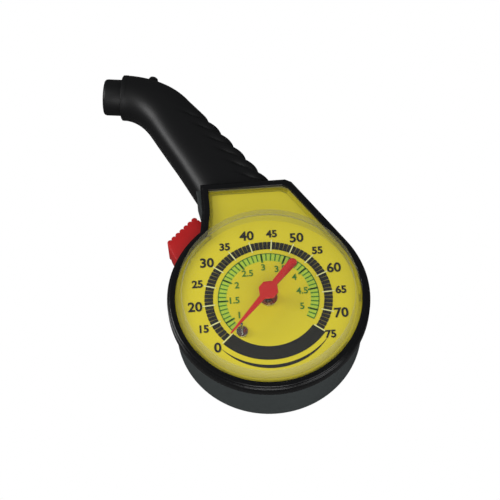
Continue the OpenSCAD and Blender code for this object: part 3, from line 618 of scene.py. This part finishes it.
nub = {"at": Vector((-35.8 * mm, 97.6 * mm, gripZ + 2 * mm)), "axis": Vector((0.35, 0.93, 0.1)).normalized(),
       "profile": [(0.0, 0.5), (0.9, 0.45), (1.5, 0.1), (1.8, -0.6), (2.1, -2.4), (0.0, -2.4)]}
nubProfile = [(radius * mm, along * mm) for radius, along in nub["profile"]]
turned("bleedNub", nubProfile, nub["at"], nub["axis"], steps=40)
print("chuck done")


weldReach, bevelFrom, sharpFrom = 0.01 * mm, 40, 38  # the last two in degrees


def softened(newName, nodeName, width, segments, slot):  # a copy of a node with rounded edges
    copy = nodes[nodeName].data.copy()
    obj = bpy.data.objects.new(newName, copy)
    bpy.context.scene.collection.objects.link(obj)
    weld = obj.modifiers.new("weld", "WELD")
    weld.merge_threshold = weldReach
    bevel = obj.modifiers.new("bevel", "BEVEL")
    bevel.width = width
    bevel.segments = segments
    bevel.limit_method = "ANGLE"
    bevel.angle_limit = math.radians(bevelFrom)
    bpy.context.view_layer.update()
    mesh = bpy.data.meshes.new_from_object(obj.evaluated_get(bpy.context.evaluated_depsgraph_get()))
    obj.modifiers.clear()
    obj.data = mesh
    mesh.materials.clear()
    mesh.materials.append(looks[slot])
    mesh.shade_smooth()
    mesh.set_sharp_from_angle(angle=math.radians(sharpFrom))
    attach(obj, nodes[nodeName]["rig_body"])
    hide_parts(nodeName)


softPieces = {
    "frontFrameSkin": {"nodeName": "front_frame", "width": 0.35 * mm, "segments": 3, "slot": "frame_plastic"},
    "buttonSkin": {"nodeName": "release_button", "width": 0.25 * mm, "segments": 2, "slot": "button_red"},
    "pointerSkin": {"nodeName": "pointer", "width": 0.06 * mm, "segments": 1, "slot": "pointer_red"},
}
for name, piece in softPieces.items():
    softened(name, **piece)
print("softened pieces done")


worldLight, worldShine, floorShine = 0.57, 0.1, 0.06  # the last two are what reflections see


def whiteFloor():  # white to the camera, dim in reflections, and a plain surface to all other light
    mat = bpy.data.materials.new("whiteStage")
    mat.use_nodes = True
    tree = mat.node_tree
    link = tree.links.new
    shader = tree.nodes["Principled BSDF"]
    shader.inputs["Base Color"].default_value = (0.9, 0.9, 0.9, 1)
    shader.inputs["Roughness"].default_value = 0.8
    path = tree.nodes.new("ShaderNodeLightPath")
    white = newNode(tree, "ShaderNodeEmission")
    white.inputs["Color"].default_value = (1, 1, 1, 1)
    mix = tree.nodes.new("ShaderNodeMixShader")
    dark = newNode(tree, "ShaderNodeEmission")
    dark.inputs["Strength"].default_value = floorShine
    gloss = tree.nodes.new("ShaderNodeMixShader")
    link(path.outputs["Is Glossy Ray"], gloss.inputs[0])
    link(shader.outputs[0], gloss.inputs[1])
    link(dark.outputs[0], gloss.inputs[2])
    link(path.outputs["Is Camera Ray"], mix.inputs[0])
    link(gloss.outputs[0], mix.inputs[1])
    link(white.outputs[0], mix.inputs[2])
    link(mix.outputs[0], tree.nodes["Material Output"].inputs["Surface"])
    return mat


floorZ, floorSize = cadLow.z - 0.5 * mm, 1.6
bpy.ops.mesh.primitive_plane_add(size=floorSize, location=(0, 0, floorZ))
floor = bpy.context.active_object
floor.name = "stageFloor"
floor.data.materials.append(whiteFloor())

world = bpy.data.worlds.new("studio")
bpy.context.scene.world = world
world.use_nodes = True
tree = world.node_tree
plain = tree.nodes["Background"]
plain.inputs["Color"].default_value = (1, 1, 1, 1)
plain.inputs["Strength"].default_value = worldLight
dim = newNode(tree, "ShaderNodeBackground")
dim.inputs["Color"].default_value = (0.9, 0.95, 1, 1)
dim.inputs["Strength"].default_value = worldShine
shine = tree.nodes.new("ShaderNodeMixShader")
seen = newNode(tree, "ShaderNodeBackground")
seen.inputs["Color"].default_value = (1, 1, 1, 1)
path = tree.nodes.new("ShaderNodeLightPath")
pick = tree.nodes.new("ShaderNodeMixShader")
either = newNode(tree, "ShaderNodeMath", operation="MAXIMUM")
tree.links.new(path.outputs["Is Camera Ray"], either.inputs[0])
tree.links.new(path.outputs["Is Transmission Ray"], either.inputs[1])
tree.links.new(either.outputs[0], pick.inputs[0])
tree.links.new(path.outputs["Is Glossy Ray"], shine.inputs[0])
tree.links.new(plain.outputs[0], shine.inputs[1])
tree.links.new(dim.outputs[0], shine.inputs[2])
tree.links.new(shine.outputs[0], pick.inputs[1])
tree.links.new(seen.outputs[0], pick.inputs[2])
tree.links.new(pick.outputs[0], tree.nodes["World Output"].inputs["Surface"])

lamps = [
    {"name": "keyLamp", "at": (-0.46, 0.1, 0.3), "size": 0.22, "power": 1.5},
    {"name": "fillLamp", "at": (0.35, -0.38, 0.3), "size": 0.3, "power": 0.9},
    {"name": "frontLamp", "at": (-0.05, -0.42, 0.42), "size": 0.3, "power": 1.4},
]
aim = Vector((-0.01, 0.03, 0.02))  # where all three lamps point
for lamp in lamps:
    data = bpy.data.lights.new(lamp["name"], "AREA")
    data.size = lamp["size"]
    data.energy = lamp["power"]
    obj = bpy.data.objects.new(lamp["name"], data)
    bpy.context.scene.collection.objects.link(obj)
    obj.location = lamp["at"]
    obj.rotation_euler = (aim - obj.location).to_track_quat("-Z", "Y").to_euler()

view = {"at": (-0.0126, -0.2097, 0.446), "tilt": 28.4685, "roll": 1.0348, "turn": -3.8079,
        "lens": 100.8, "sensor": 36, "near": 10 * mm}
camData = bpy.data.cameras.new("camera")
camData.lens = view["lens"]
camData.sensor_width = view["sensor"]
camData.clip_start = view["near"]
cam = bpy.data.objects.new("camera", camData)
bpy.context.scene.collection.objects.link(cam)
cam.location = view["at"]
cam.rotation_euler = [math.radians(view[key]) for key in ("tilt", "roll", "turn")]
scene = bpy.context.scene
scene.camera = cam
scene.view_settings.view_transform = "Standard"
scene.view_settings.look = "None"
scene.cycles.max_bounces = 10
scene.cycles.transparent_max_bounces = 16
scene.cycles.use_denoising = True
print("stage done")
